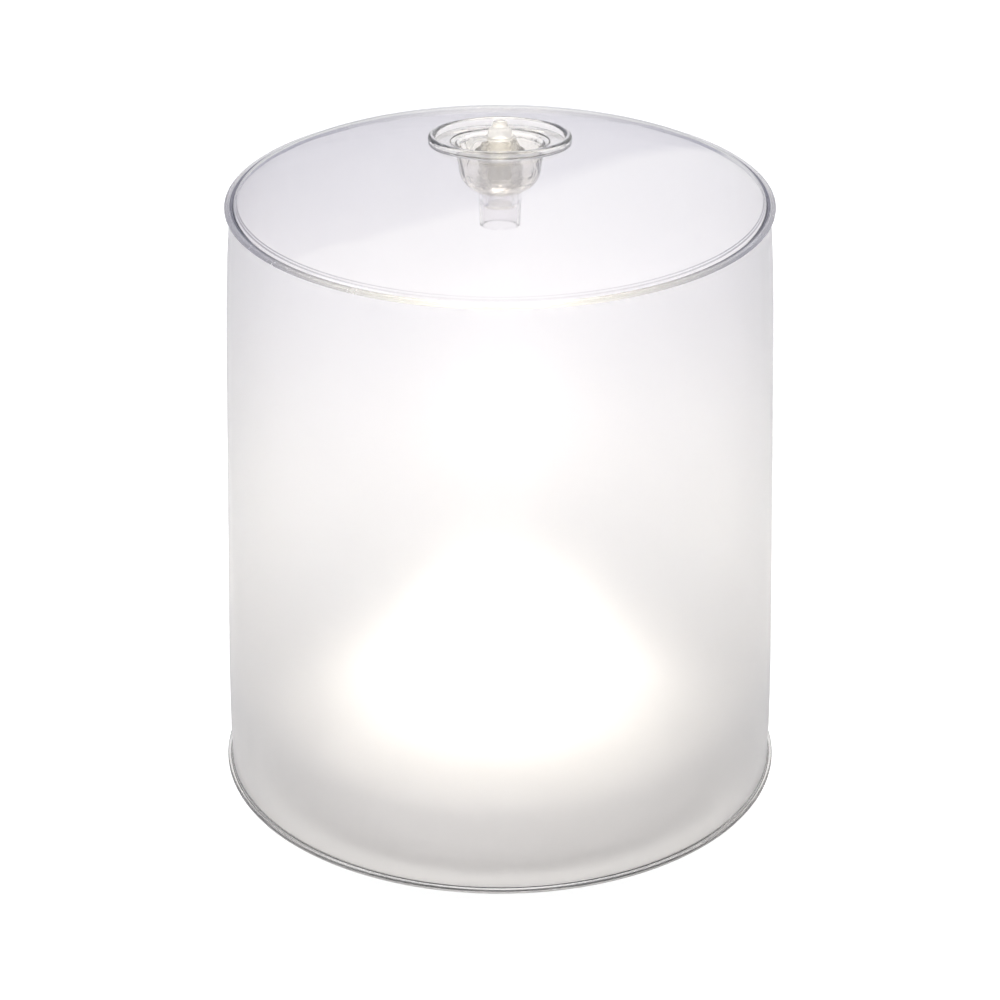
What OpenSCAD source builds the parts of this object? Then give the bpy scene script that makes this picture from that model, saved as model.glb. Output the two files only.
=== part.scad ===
// Inflatable solar candle lantern: a frosted film tube on a flat base that
// holds the solar panel, battery and lamps, with an air valve in its clear top.
// Millimetres, +Z up, origin on the ground below the middle of the base.

/* [Envelope] */
// Radius of the side wall just above its foot
wall_foot_r = 46.5; // [45.3:0.1:54]
// Radius of the side wall just below its top
wall_head_r = 43.6; // [41:0.1:54]
// How far the wall draws in where it meets the bottom seam
foot_pinch = 0.6; // [0.2:0.1:1.2]
// How far the wall draws in where it meets the top seam
head_pinch = 0.8; // [0.2:0.1:2]
// Height of the wall between its two seams
wall_h = 99.2; // [80:0.1:160]
// Thickness of the films
film_t = 0.4; // [0.3:0.05:0.6]
// Width of the welded seams
weld_w = 1.3; // [0.8:0.1:3]
// Thickness of the welded seams
weld_t = 1.1; // [0.9:0.1:2]
// Rise of the blown-up top film at its middle
dome_h = 4.8; // [3:0.1:9]

/* [Air valve] */
// Distance of the valve behind the middle of the top
valve_y = 16.6; // [13:0.1:22]
// Lean of the valve to the back, beyond the slope of the film under its rim
valve_lean = 2.7; // [0:0.1:4]
// Outer radius of the valve's rim
rim_r = 11.8; // [11:0.1:14]
// Width of the rim
rim_w = 1.2; // [0.8:0.1:1.6]
// Height of the rim
rim_h = 1.6; // [1.4:0.1:2.4]
// Outer radius of the bead at the mouth of the bowl
mouth_r = 7.6; // [7.3:0.05:9]
// Thickness of that bead
bead_d = 0.9; // [0.7:0.1:1.2]
// Outer radius of the bowl below the bead
bowl_r = 6.8; // [6.6:0.1:7.1]
// Depth of the bowl below the rim
bowl_depth = 8.6; // [7.6:0.1:11]
// Thickness of the soft bowl
bowl_t = 0.5; // [0.4:0.05:0.7]
// Outer radius of the stem inside the bowl
stem_r = 3.6; // [3.5:0.05:3.8]
// Outer radius of the stem's lower end
skirt_r = 3.35; // [3.15:0.05:3.4]
// Radius of the stem's lip under the stopper
lip_rim_r = 2.7; // [2.6:0.05:3]
// Radius of the stem's collar, which keeps the tether's ring down
stem_collar_r = 4.15; // [4:0.05:4.4]
// Radius of the stem's air bore
bore_r = 2; // [1.7:0.05:2.1]
// Depth of the stem's lower end below the rim
stem_depth = 14.8; // [14:0.1:17]
// Depth of the stem's lip below the rim
stem_top = 0.1; // [0.1:0.1:0.6]
// Thickness of the check flap
flap_t = 0.5; // [0.3:0.05:0.7]
// Length of the stopper's shank in the bore
shank_l = 7.4; // [5:0.1:8]
// Radius of the stopper's cap
stopper_r = 2.5; // [2.4:0.05:2.6]
// Thickness of the stopper's cap
stopper_cap_t = 0.5; // [0.4:0.1:0.7]
// Height of the stopper's tip above the rim
tip_h = 2.9; // [2.6:0.1:4]
// Width of the tether strap
tether_wide = 1.8; // [1.2:0.1:2.4]
// Thickness of the tether strap
tether_t = 0.5; // [0.4:0.05:0.6]

/* [Base] */
// Width of the film between the housing and the bottom seam
foot_film_w = 7.5; // [5.6:0.1:9.8]
// Thickness of the housing's walls
shell_t = 1.6; // [1.4:0.1:1.8]
// Height of the foot ring
foot_h = 0.8; // [0.6:0.1:2]
// Width of the foot ring
foot_w = 2.6; // [1.6:0.1:3.2]
// Width of the lip that carries the bottom film
lip_w = 2.6; // [1.6:0.1:4]
// Thickness of that lip
lip_t = 1; // [0.8:0.1:1.2]
// Rounding of the housing's top edge
cover_round = 2.6; // [1.6:0.1:3]
// Room above the circuit board
head_room = 2.2; // [2:0.1:6]

/* [Solar panel] */
// Width of the panel's edge outside its window
panel_lap = 0.7; // [0.5:0.1:3]
// Thickness of the window
window_t = 1; // [0.8:0.1:1.2]
// Thickness of the panel board
panel_t = 1; // [0.8:0.1:1.6]
// Number of cell strips across the panel
cell_n = 6; // [4:1:8]

/* [Electronics] */
// Thickness of the circuit board
board_t = 1; // [0.8:0.1:1.6]
// Length of the battery
battery_l = 34; // [28:0.5:38]
// Width of the battery
battery_w = 26; // [20:0.5:30]
// Thickness of the battery
battery_t = 3.5; // [3:0.1:6]
// Radius of the circle that the lamps stand on
lamp_ring_r = 5.5; // [4.4:0.1:6]
// Number of lamps
lamp_n = 4; // [3:1:5]
// Side of one lamp
lamp_w = 3; // [2.4:0.1:3.2]
// Radius of the clear lens over the lamps
lens_r = 13.2; // [12.8:0.1:16]

/* [Button] */
// Radius of the button
button_r = 3.4; // [2.8:0.1:3.4]
// Gap round the button
button_gap = 0.1; // [0.05:0.05:0.15]
// Travel of the button
button_travel = 0.4; // [0.2:0.1:0.6]

/* [Hidden] */
$fn = 96;

// How sharply the wall draws in at its seams
pinch_power = 12;
// Roundness of the blown-up top film: 2 is an ellipse
dome_power = 2.2;
// How far the rim's middle stands above the film's mean height round it
rim_lift = 0.15;
profile_steps = 24;
// Running gap of a fit, and a gap that keeps soft pieces clear
fit = 0.05;
clear_gap = 0.2;

// Heights of the base
floor_top = foot_h + shell_t;
lip_top = foot_h + shell_t + clear_gap;
film_z = lip_top + film_t / 2;
bottom_weld_z = film_z - weld_t / 2;
wall_z0 = bottom_weld_z + weld_t;
wall_z1 = wall_z0 + wall_h;
seam_z = wall_z1 + weld_t / 2;

// Heights inside the base, from the panel up to the cover
tape_t = 0.2;
pad_t = 0.3;
battery_gap = 0.8;
window_z = foot_h;
panel_z = floor_top + tape_t;
battery_z = panel_z + panel_t + pad_t;
board_z = battery_z + battery_t + battery_gap;
board_top = board_z + board_t;
split_z = board_z - clear_gap;
cover_under = board_top + head_room;
base_h = cover_under + shell_t;

// Radii of the seams
wall_foot_in = wall_foot_r - foot_pinch - film_t / 2;
wall_head_in = wall_head_r - head_pinch - film_t / 2;
dome_r = wall_head_in - film_t / 2;

// Top film: height above the seam at a distance from the middle, and the valve that sits in it
function dome_rise(r) = dome_h * sqrt(1 - pow(abs(r) / dome_r, dome_power));
rise_front = dome_rise(valve_y - rim_r);
rise_back = dome_rise(valve_y + rim_r);
valve_z = seam_z + (rise_front + rise_back) / 2 + rim_lift;
valve_tilt = atan((rise_front - rise_back) / (2 * rim_r)) + valve_lean;

// Valve, along its own axis with the rim at 0
rim_in = rim_r - rim_w;
rim_low = -0.56 * rim_h;
rim_round = 0.45 * rim_w;
web_level = rim_low + bowl_t / 2;
mouth_level = -1.25;
bowl_middle = -4.8;
skirt_top = -bowl_depth - bowl_t;
stem_collar_low = -stem_top - 2.3;
stem_collar_t = 0.45;
flap_seat = -stem_depth + 3.8;
flap_bore_r = skirt_r - 0.5;
flap_r = flap_bore_r - 0.35;
flap_z = flap_seat - fit - flap_t / 2;
flap_hinge_y = flap_r - flap_t / 2 - 0.1;
shank_r = bore_r - fit;
cap_low = -stem_top;
knob_low = cap_low + stopper_cap_t;

// Loop of the tether, from the ring round the stem up to the stopper's cap
tether_angle = 200;
tether_ring_top = stem_collar_low - fit;
tether_ring_h = 0.8;
tether_ring_w = 0.7;
loop_low = tether_ring_top - tether_ring_h / 2;
loop_high = cap_low + stopper_cap_t / 2;
loop_out = 1;

// Base housing
base_r = wall_foot_in - foot_film_w - clear_gap;
base_in_r = base_r - shell_t;
lip_r = base_r + lip_w;
foot_inset = 1.2;
foot_edge = 0.4;
brim_drop = 0.5;
boss_r = 2.5;
boss_at = base_in_r - boss_r - 1.4;
boss_angles = [20, 160, 200, 340];
screw_shaft_r = 0.93;
screw_bore_r = 0.95;
screw_shaft_l = 7;
screw_head_r = 1.9;
screw_head_t = 1;
screw_pass_r = 1.15;
seal_w = 0.9;
seal_h = 0.6;
seal_in_r = base_in_r + (shell_t - seal_w) / 2;

// Circuit board and its screws
board_r = boss_at - boss_r - 0.5;
board_boss_at = board_r - 3.9;
board_boss_r = 2.1;
board_boss_angles = [60, 180, 300];
board_screw_r = 0.73;
board_bore_r = 0.75;
board_head_r = 1.7;
board_head_t = 0.7;

// Lens, reflector and lamps
lens_t = 1;
lens_rise = 0.9;
lens_ledge = 1.1;
lens_z = base_h - lens_t;
reflector_t = 0.7;
reflector_lean = 0.9;
lamp_t = 0.9;

// Button and its switch
switch_w = 6;
switch_h = 3.2;
switch_z = board_z - switch_h;
button_y = board_r - switch_w / 2 - 0.2;
button_bottom = foot_h + 0.1;
button_flange_r = button_r + 1;
button_flange_t = 0.8;
oring_r = 0.4;
plunger_r = 1.2;
plunger_head_r = 1.9;
plunger_head_t = 0.35;
dome_t = 0.15;
dome_bow = 0.35;
cavity_r = 2.2;
cavity_low = switch_z + 0.6;
plunger_high = cavity_low + fit + plunger_head_t;
dome_low = plunger_high + button_travel + fit;
cavity_high = dome_low + dome_t + dome_bow;
plunger_tip = switch_z - button_travel - clear_gap;

// Solar panel, in the middle between the button and the charge lights
panel_w = 2 * (button_y - button_flange_r - clear_gap);
window_w = panel_w - 2 * panel_lap;
window_ledge = 1.4;
tape_w = 1.2;
cell_t = 0.2;
cell_edge = 2;
cell_gap = 0.5;

// Charge lights
pipe_r = 0.9;
pipe_y = button_y - 0.3;
pipe_pitch = 5;
pipe_n = 3;
charge_lamp_t = 0.6;

// Battery, its socket and the leads
battery_fold = 2;
socket_x = battery_l / 2 + 6;
socket_w = 3;
lead_d = 1;
lead_pitch = 2.4;
panel_lead_x = 9;
pad_inset = 4;

// Points of an arc about [x, y], from angle a0 to a1
function arc(x, y, r, a0, a1, n = 8) =
    [for (i = [0:n]) let (a = a0 + (a1 - a0) * i / n) [x + r * cos(a), y + r * sin(a)]];

// Direction of a run of points at point i, as a unit vector
function heading(p, i) =
    let (d = p[min(i + 1, len(p) - 1)] - p[max(i - 1, 0)]) d / norm(d);

// Outline of a sheet of thickness t that follows the points p
function sheet_outline(p, t) = concat(
    [for (i = [0:len(p) - 1]) let (h = heading(p, i)) p[i] + t / 2 * [h[1], -h[0]]],
    [for (i = [len(p) - 1:-1:0]) let (h = heading(p, i)) p[i] - t / 2 * [h[1], -h[0]]]);

// Rectangle from [x0, y0] to [x1, y1] with every corner rounded
module rounded_section(x0, y0, x1, y1, r) {
    polygon(concat(
        arc(x1 - r, y0 + r, r, -90, 0),
        arc(x1 - r, y1 - r, r, 0, 90),
        arc(x0 + r, y1 - r, r, 90, 180),
        arc(x0 + r, y0 + r, r, 180, 270)));
}

// Ring of rectangular section
module ring(r_in, r_out, z0, z1) {
    translate([0, 0, z0])
    difference() {
        cylinder(r = r_out, h = z1 - z0);
        translate([0, 0, -1]) cylinder(r = r_in, h = z1 - z0 + 2);
    }
}

// Upright block centred on [x, y], from z0 to z1
module block(x, y, w, l, z0, z1) {
    translate([x - w / 2, y - l / 2, z0]) cube([w, l, z1 - z0]);
}

// Round tube of diameter d along points that lie in one upright plane
module lead(p, d, across) {
    sides = 8;
    rings = len(p);
    pts = [for (i = [0:rings - 1])
        let (t = heading(p, i), n = cross(across, t))
        for (k = [0:sides - 1]) p[i] + d / 2 * (cos(360 * k / sides) * across + sin(360 * k / sides) * n)];
    walls = [for (i = [0:rings - 2]) for (k = [0:sides - 1])
        let (a = i * sides + k, b = i * sides + (k + 1) % sides)
        [a, a + sides, b + sides, b]];
    polyhedron(pts, concat(walls, [[for (k = [0:sides - 1]) k]],
        [[for (k = [sides - 1:-1:0]) (rings - 1) * sides + k]]));
}

// Puts its children on the valve's axis, with the rim's middle at 0
module at_valve() {
    translate([0, valve_y, valve_z]) rotate([-valve_tilt, 0, 0]) children();
}

// ---- Envelope ----

// Middle radius of the side wall at a share t of its height
function wall_radius(t) = wall_foot_r + (wall_head_r - wall_foot_r) * t
    - head_pinch * pow(t, pinch_power) - foot_pinch * pow(1 - t, pinch_power);

// Share of the height at step i: the steps are closer together at the seams
function wall_step(i) = (1 - cos(180 * i / profile_steps)) / 2;

module side_wall() {
    steps = [for (i = [0:profile_steps]) wall_step(i)];
    outside = [for (t = steps) [wall_radius(t) + film_t / 2, wall_z0 + wall_h * t]];
    inside = [for (t = steps) [wall_radius(t) - film_t / 2, wall_z0 + wall_h * t]];
    color("whitesmoke") rotate_extrude()
        polygon(concat(outside, [for (i = [profile_steps:-1:0]) inside[i]]));
}

// Points of a dome of radius r and height h, from its middle to its edge
function dome_points(r, h) = [for (i = [0:profile_steps]) let (a = 90 * i / profile_steps)
    [r * pow(sin(a), 2 / dome_power), seam_z + h * cos(a)]];

module top_film() {
    outside = dome_points(dome_r + film_t / 2, dome_h + film_t / 2);
    inside = dome_points(dome_r - film_t / 2, dome_h - film_t / 2);
    foot = seam_z - film_t;
    color("lavender") difference() {
        rotate_extrude() polygon(concat(outside,
            [[dome_r + film_t / 2, foot], [dome_r - film_t / 2, foot]],
            [for (i = [profile_steps:-1:0]) inside[i]]));
        at_valve() translate([0, 0, -dome_h]) cylinder(r = rim_r, h = 2 * dome_h);
    }
}

module top_weld_ring() {
    color("silver") rotate_extrude()
        rounded_section(wall_head_in, wall_z1, wall_head_in + weld_w, wall_z1 + weld_t, weld_t / 4);
}

module bottom_weld_ring() {
    color("silver") rotate_extrude()
        rounded_section(wall_foot_in, bottom_weld_z, wall_foot_in + weld_w, wall_z0, weld_t / 4);
}

module bottom_film() {
    color("lavender") ring(base_r + clear_gap, wall_foot_in, lip_top, lip_top + film_t);
}

// ---- Air valve ----

module valve_rim() {
    color("gainsboro") at_valve() rotate_extrude()
        polygon(concat(
            [[rim_in, rim_low], [rim_r, rim_low]],
            arc(rim_r - rim_round, rim_low + rim_h - rim_round, rim_round, 0, 90),
            arc(rim_in + rim_round, rim_low + rim_h - rim_round, rim_round, 90, 180)));
}

// Middle line of the soft web and bowl, from the rim to the stem
function collar_line() = let (r = bowl_r - bowl_t / 2, core = stem_r - 0.4) concat(
    [[rim_in, web_level], [mouth_r + 0.6, web_level], [mouth_r - bead_d / 2, mouth_level]],
    [for (a = [0:12:72]) [core + (r - core) * cos(a), bowl_middle - (bowl_depth + bowl_middle) * sin(a)]],
    [[stem_r + 0.35, -bowl_depth - 0.05], [stem_r + fit, -bowl_depth]]);

module valve_collar() {
    color("gainsboro") at_valve() {
        rotate_extrude() polygon(sheet_outline(collar_line(), bowl_t));
        rotate_extrude() translate([mouth_r - bead_d / 2, mouth_level]) circle(d = bead_d, $fn = 24);
    }
}

module valve_stem() {
    neck_low = stem_collar_low + stem_collar_t;
    color("gainsboro") at_valve() difference() {
        rotate_extrude() polygon(concat(
            [[bore_r, -stem_depth], [skirt_r - 0.2, -stem_depth], [skirt_r, -stem_depth + 0.2]],
            [[stem_r - 0.1, skirt_top], [stem_r, skirt_top + 0.2]],
            [[stem_r, stem_collar_low], [stem_collar_r - 0.1, stem_collar_low]],
            [[stem_collar_r, stem_collar_low + 0.1], [stem_collar_r, neck_low - 0.1]],
            [[stem_collar_r - 0.1, neck_low], [stem_r - 0.2, neck_low + 0.4]],
            arc(lip_rim_r - 0.2, -stem_top - 0.2, 0.2, 20, 90, 4),
            [[bore_r + 0.3, -stem_top], [bore_r, -stem_top - 0.3]]));
        translate([0, 0, -stem_depth - 1]) cylinder(r = flap_bore_r, h = flap_seat + stem_depth + 1);
    }
}

module check_flap() {
    color("whitesmoke") at_valve() translate([0, 0, flap_z]) {
        intersection() {
            translate([0, 0, -flap_t / 2]) cylinder(r = flap_r, h = flap_t);
            block(0, flap_hinge_y - 2 * flap_r, 4 * flap_r, 4 * flap_r, -flap_t, flap_t);
        }
        translate([-1, flap_hinge_y, 0]) rotate([0, 90, 0]) cylinder(r = flap_t / 2, h = 2, $fn = 24);
    }
}

module stopper() {
    nose = tip_h - knob_low;
    color("snow") at_valve() rotate_extrude() polygon(concat(
        [[0, cap_low - shank_l], [shank_r - 0.4, cap_low - shank_l], [shank_r, cap_low - shank_l + 0.5]],
        [[shank_r, cap_low], [stopper_r - 0.15, cap_low], [stopper_r, cap_low + 0.15]],
        [[stopper_r, knob_low - 0.15], [stopper_r - 0.15, knob_low], [stopper_r - 0.4, knob_low]],
        [for (a = [0:15:75]) [1.55 + 0.5 * cos(a), knob_low + 0.6 * nose * sin(a)]],
        [[1.3, knob_low + 0.68 * nose], [1.2, tip_h - 0.35]],
        arc(0.85, tip_h - 0.35, 0.35, 0, 90, 5),
        [[0, tip_h]]));
}

// Middle line of the tether's loop, as [distance from the axis, height]
function tether_line() = let (r = stem_collar_r + 0.2, middle = (loop_low + loop_high) / 2) concat(
    [[stem_r + tether_ring_w - fit, loop_low]],
    [for (a = [-90:15:90]) [r + loop_out * cos(a), middle + (loop_high - loop_low) / 2 * sin(a)]],
    [[stopper_r + fit, loop_high]]);

module stopper_tether() {
    color("snow") at_valve() {
        ring(stem_r + fit, stem_r + tether_ring_w, tether_ring_top - tether_ring_h, tether_ring_top);
        rotate([0, 0, tether_angle]) translate([0, tether_wide / 2, 0]) rotate([90, 0, 0])
            linear_extrude(height = tether_wide) polygon(sheet_outline(tether_line(), tether_t));
    }
}

// ---- Base housing ----

module boss_places() {
    for (a = boss_angles) rotate([0, 0, a]) translate([boss_at, 0, 0]) children();
}

module board_boss_places() {
    for (a = board_boss_angles) rotate([0, 0, a]) translate([board_boss_at, 0, 0]) children();
}

module pipe_places() {
    for (i = [0:pipe_n - 1]) translate([(i - (pipe_n - 1) / 2) * pipe_pitch, pipe_y, 0]) children();
}

// Section of the lower half of the housing, with its foot ring and lip
module tray_section() {
    foot_out = base_r - foot_inset;
    foot_in = foot_out - foot_w;
    polygon(concat(
        [[0, foot_h], [foot_in - 0.5, foot_h]],
        arc(foot_in + foot_edge, foot_edge, foot_edge, 180, 270, 4),
        arc(foot_out - foot_edge, foot_edge, foot_edge, 270, 360, 4),
        [[foot_out + 0.4, foot_h], [lip_r - 0.6, lip_top - lip_t]],
        arc(lip_r - 0.4, lip_top - lip_t + 0.4, 0.4, 280, 360, 4),
        [[lip_r, lip_top], [base_r, lip_top], [base_r, split_z]],
        [[base_in_r, split_z], [base_in_r, floor_top], [0, floor_top]]));
}

module base_tray() {
    boss_h = split_z - floor_top + 0.1;
    opening = window_w - 2 * window_ledge;
    groove_z = foot_h + shell_t / 2 - oring_r;
    color("white") difference() {
        union() {
            rotate_extrude() tray_section();
            boss_places() translate([0, 0, floor_top - 0.1]) cylinder(r = boss_r, h = boss_h);
        }
        block(0, 0, window_w, window_w, window_z - 1, window_z + window_t);
        block(0, 0, opening, opening, 0, floor_top + 1);
        translate([0, -button_y, -1]) cylinder(r = button_r + button_gap, h = floor_top + 2);
        translate([0, -button_y, groove_z])
            cylinder(r = button_r + button_gap + 2 * oring_r, h = 2 * oring_r);
        pipe_places() translate([0, 0, -1]) cylinder(r = pipe_r, h = floor_top + 2, $fn = 32);
        boss_places() translate([0, 0, floor_top + 0.5]) cylinder(r = screw_bore_r, h = split_z, $fn = 32);
        ring(seal_in_r, seal_in_r + seal_w, split_z - seal_h, split_z + 1);
    }
}

// Section of the upper half of the housing, with its seat for the lens
module cover_section() {
    opening_r = lens_r - lens_ledge;
    seat_r = lens_r + fit;
    brim_z = base_h - brim_drop;
    polygon(concat(
        [[opening_r, cover_under], [opening_r, lens_z], [seat_r, lens_z], [seat_r, base_h]],
        arc(lens_r + 1.6, base_h - 0.3, 0.3, 90, 0, 3),
        [[lens_r + 2.6, brim_z]],
        arc(base_r - cover_round, brim_z - cover_round, cover_round, 90, 0, 8),
        [[base_r, split_z], [base_in_r, split_z], [base_in_r, cover_under - 1.4]],
        [[base_in_r - 1, cover_under - 0.4], [lens_r + 6, cover_under]]));
}

module base_cover() {
    head_seat = base_h - brim_drop - screw_head_t;
    color("white") difference() {
        union() {
            rotate_extrude() cover_section();
            boss_places() translate([0, 0, split_z]) cylinder(r = boss_r, h = cover_under - split_z + 0.4);
            board_boss_places() translate([0, 0, board_top])
                cylinder(r = board_boss_r, h = cover_under - board_top + 0.4);
        }
        boss_places() translate([0, 0, split_z - 1]) cylinder(r = screw_pass_r, h = base_h, $fn = 32);
        boss_places() translate([0, 0, head_seat]) cylinder(r = screw_head_r + 0.2, h = 3, $fn = 48);
        board_boss_places() translate([0, 0, board_top - 1])
            cylinder(r = board_bore_r, h = cover_under - board_top + 0.9, $fn = 32);
    }
}

module seal_ring() {
    color("dimgray") ring(seal_in_r, seal_in_r + seal_w, split_z - seal_h, split_z);
}

module housing_screws() {
    head_z = base_h - brim_drop - screw_head_t;
    slot_z = head_z + screw_head_t / 2;
    color("silver") boss_places() {
        difference() {
            translate([0, 0, head_z]) cylinder(r = screw_head_r, h = screw_head_t - 0.1, $fn = 48);
            block(0, 0, 0.5, 2.2, slot_z, slot_z + 1);
            block(0, 0, 2.2, 0.5, slot_z, slot_z + 1);
        }
        translate([0, 0, head_z - screw_shaft_l]) cylinder(r = screw_shaft_r, h = screw_shaft_l, $fn = 32);
    }
}

module board_screws() {
    color("silver") board_boss_places() {
        translate([0, 0, board_z - board_head_t]) cylinder(r = board_head_r, h = board_head_t, $fn = 48);
        translate([0, 0, board_z]) cylinder(r = board_screw_r, h = cover_under - board_z - 0.3, $fn = 32);
    }
}

// ---- Solar panel ----

module panel_window() {
    side = window_w - 2 * fit;
    color("lightblue") block(0, 0, side, side, window_z, window_z + window_t);
}

module solar_panel() {
    color("darkgreen") block(0, 0, panel_w, panel_w, panel_z, panel_z + panel_t);
}

module solar_cells() {
    side = window_w - 2 * window_ledge - 2 * cell_edge;
    pitch = side / cell_n;
    color("midnightblue") for (i = [0:cell_n - 1])
        block(-side / 2 + (i + 0.5) * pitch, 0, pitch - cell_gap, side, panel_z - cell_t, panel_z);
}

module panel_tape() {
    inner = panel_w - 2 * tape_w;
    color("dimgray") difference() {
        block(0, 0, panel_w, panel_w, floor_top, panel_z);
        block(0, 0, inner, inner, floor_top - 1, panel_z + 1);
    }
}

module panel_leads() {
    y0 = panel_w / 2 - 2.2;
    low = panel_z + panel_t;
    color("firebrick") for (x = [-panel_lead_x, -panel_lead_x - lead_pitch])
        lead([[x, y0, low], [x, y0, low + 0.6], [x, y0 - 0.3, low + 1.4], [x, y0 - 1.2, low + 2.2],
            [x, y0 - 1.6, low + 3], [x, y0 - 1.6, board_z]], lead_d, [1, 0, 0]);
}

// ---- Electronics ----

module circuit_board() {
    color("white") difference() {
        translate([0, 0, board_z]) cylinder(r = board_r, h = board_t);
        board_boss_places() translate([0, 0, board_z - 1]) cylinder(r = 1, h = board_t + 2, $fn = 32);
    }
}

module lamp_places() {
    for (i = [0:lamp_n - 1]) rotate([0, 0, 45 + 360 * i / lamp_n]) translate([lamp_ring_r, 0, 0]) children();
}

module candle_lamps() {
    color("khaki") lamp_places() block(0, 0, lamp_w, lamp_w, board_top, board_top + lamp_t);
}

// Parts on the board's upper face, each as [x, y, width, length, height],
// with x and y as shares of the board's radius
board_list = [[0, 0.64, 5, 5, 0.9], [-0.41, 0.58, 4, 4, 1.6], [0.37, 0.59, 3, 4, 1.1],
    [0.64, 0.07, 3, 5, 1.2], [-0.66, 0.2, 1.6, 0.8, 0.8], [-0.66, 0.3, 1.6, 0.8, 0.8],
    [-0.61, -0.27, 3, 2, 1], [0.27, -0.61, 1.6, 0.8, 0.8], [0.17, -0.61, 1.6, 0.8, 0.8],
    [-0.2, -0.64, 4, 2.6, 1.2]];

module board_parts() {
    color("dimgray") for (p = board_list)
        block(p[0] * board_r, p[1] * board_r, p[2], p[3], board_top, board_top + p[4]);
}

module lamp_reflector() {
    out_r = lens_r - lens_ledge - clear_gap;
    drop = lens_z - board_top;
    color("white") rotate_extrude() polygon([
        [out_r - reflector_lean * drop - reflector_t, board_top], [out_r - reflector_lean * drop, board_top],
        [out_r, lens_z - 0.6], [out_r, lens_z], [out_r - reflector_t, lens_z]]);
}

module lamp_lens() {
    cap_edge = lens_r - 2;
    cap_r = (pow(cap_edge, 2) + pow(lens_rise, 2)) / (2 * lens_rise);
    turn = asin(cap_edge / cap_r);
    color("azure") rotate_extrude() polygon(concat(
        [[0, lens_z], [lens_r, lens_z], [lens_r, base_h]],
        arc(0, base_h + lens_rise - cap_r, cap_r, 90 - turn, 90, 10)));
}

module battery_cell() {
    color("silver") {
        block(0, 0, battery_l, battery_w, battery_z, battery_z + battery_t);
        block((battery_l + battery_fold) / 2, 0, battery_fold, battery_w - 2,
            battery_z + 0.6, battery_z + battery_t - 0.6);
    }
}

module battery_pad() {
    color("black")
        block(0, 0, battery_l - 2 * pad_inset, battery_w - 2 * pad_inset, panel_z + panel_t, battery_z);
}

module battery_socket() {
    color("ivory") block(socket_x, 0, socket_w, 5, board_z - 2.4, board_z);
}

module battery_leads() {
    x0 = battery_l / 2 + battery_fold;
    mid = battery_z + battery_t / 2;
    end_x = socket_x - socket_w / 2;
    color("black") for (y = [-lead_pitch / 2, lead_pitch / 2])
        lead([[x0, y, mid], [x0 + 0.5, y, mid], [x0 + 1, y, mid + 0.1], [end_x - 0.8, y, board_z - 1.4],
            [end_x - 0.4, y, board_z - 1.2], [end_x, y, board_z - 1.2]], lead_d, [0, 1, 0]);
}

// ---- Button ----

module tact_switch() {
    color("dimgray") translate([0, -button_y, 0]) difference() {
        block(0, 0, switch_w, switch_w, switch_z, board_z);
        translate([0, 0, switch_z - 1]) cylinder(r = plunger_r + fit, h = 3, $fn = 48);
        translate([0, 0, cavity_low]) cylinder(r = cavity_r, h = cavity_high - cavity_low, $fn = 48);
    }
}

module switch_dome() {
    line = [for (a = [0:15:90])
        [(cavity_r - dome_t / 2 - fit) * sin(a), dome_low + dome_t / 2 + dome_bow * (1 - cos(a))]];
    color("goldenrod") translate([0, -button_y, 0]) rotate_extrude($fn = 48) polygon(concat(
        [for (p = line) p + [0, dome_t / 2]],
        [for (i = [len(line) - 1:-1:0]) line[i] - [0, dome_t / 2]]));
}

module switch_plunger() {
    color("black") translate([0, -button_y, 0]) {
        translate([0, 0, plunger_tip]) cylinder(r = plunger_r, h = plunger_high - plunger_tip, $fn = 48);
        translate([0, 0, cavity_low + fit]) cylinder(r = plunger_head_r, h = plunger_head_t, $fn = 48);
    }
}

module power_button() {
    flange_z = floor_top + fit;
    color("lightgray") translate([0, -button_y, 0]) rotate_extrude() polygon(concat(
        [[0, button_bottom + 0.15], [button_r - 1.2, button_bottom + 0.1]],
        arc(button_r - 0.3, button_bottom + 0.3, 0.3, 270, 360, 4),
        [[button_r, flange_z], [button_flange_r, flange_z], [button_flange_r, flange_z + button_flange_t]],
        [[plunger_r + 0.6, flange_z + button_flange_t], [plunger_r + 0.4, plunger_tip], [0, plunger_tip]]));
}

module button_seal() {
    color("dimgray") translate([0, -button_y, foot_h + shell_t / 2]) rotate_extrude()
        translate([button_r + button_gap + oring_r, 0]) circle(r = oring_r - 0.02, $fn = 24);
}

// ---- Charge lights ----

module charge_pipes() {
    high = board_z - charge_lamp_t;
    color("azure") pipe_places() {
        translate([0, 0, foot_h + 0.05]) cylinder(r = pipe_r - 0.02, h = floor_top - foot_h - 0.05, $fn = 32);
        translate([0, 0, floor_top]) cylinder(r = pipe_r + 0.4, h = high - floor_top, $fn = 32);
    }
}

module charge_lamps() {
    color("khaki") pipe_places() block(0, 0, 1.6, 0.8, board_z - charge_lamp_t, board_z);
}

side_wall();
top_film();
top_weld_ring();
bottom_film();
bottom_weld_ring();
valve_rim();
valve_collar();
valve_stem();
check_flap();
stopper();
stopper_tether();
base_tray();
base_cover();
seal_ring();
panel_window();
solar_cells();
solar_panel();
panel_tape();
circuit_board();
board_parts();
candle_lamps();
lamp_reflector();
lamp_lens();
battery_cell();
battery_pad();
battery_leads();
battery_socket();
panel_leads();
tact_switch();
switch_dome();
switch_plunger();
power_button();
button_seal();
charge_pipes();
charge_lamps();
housing_screws();
board_screws();
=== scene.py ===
import math
import random

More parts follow.
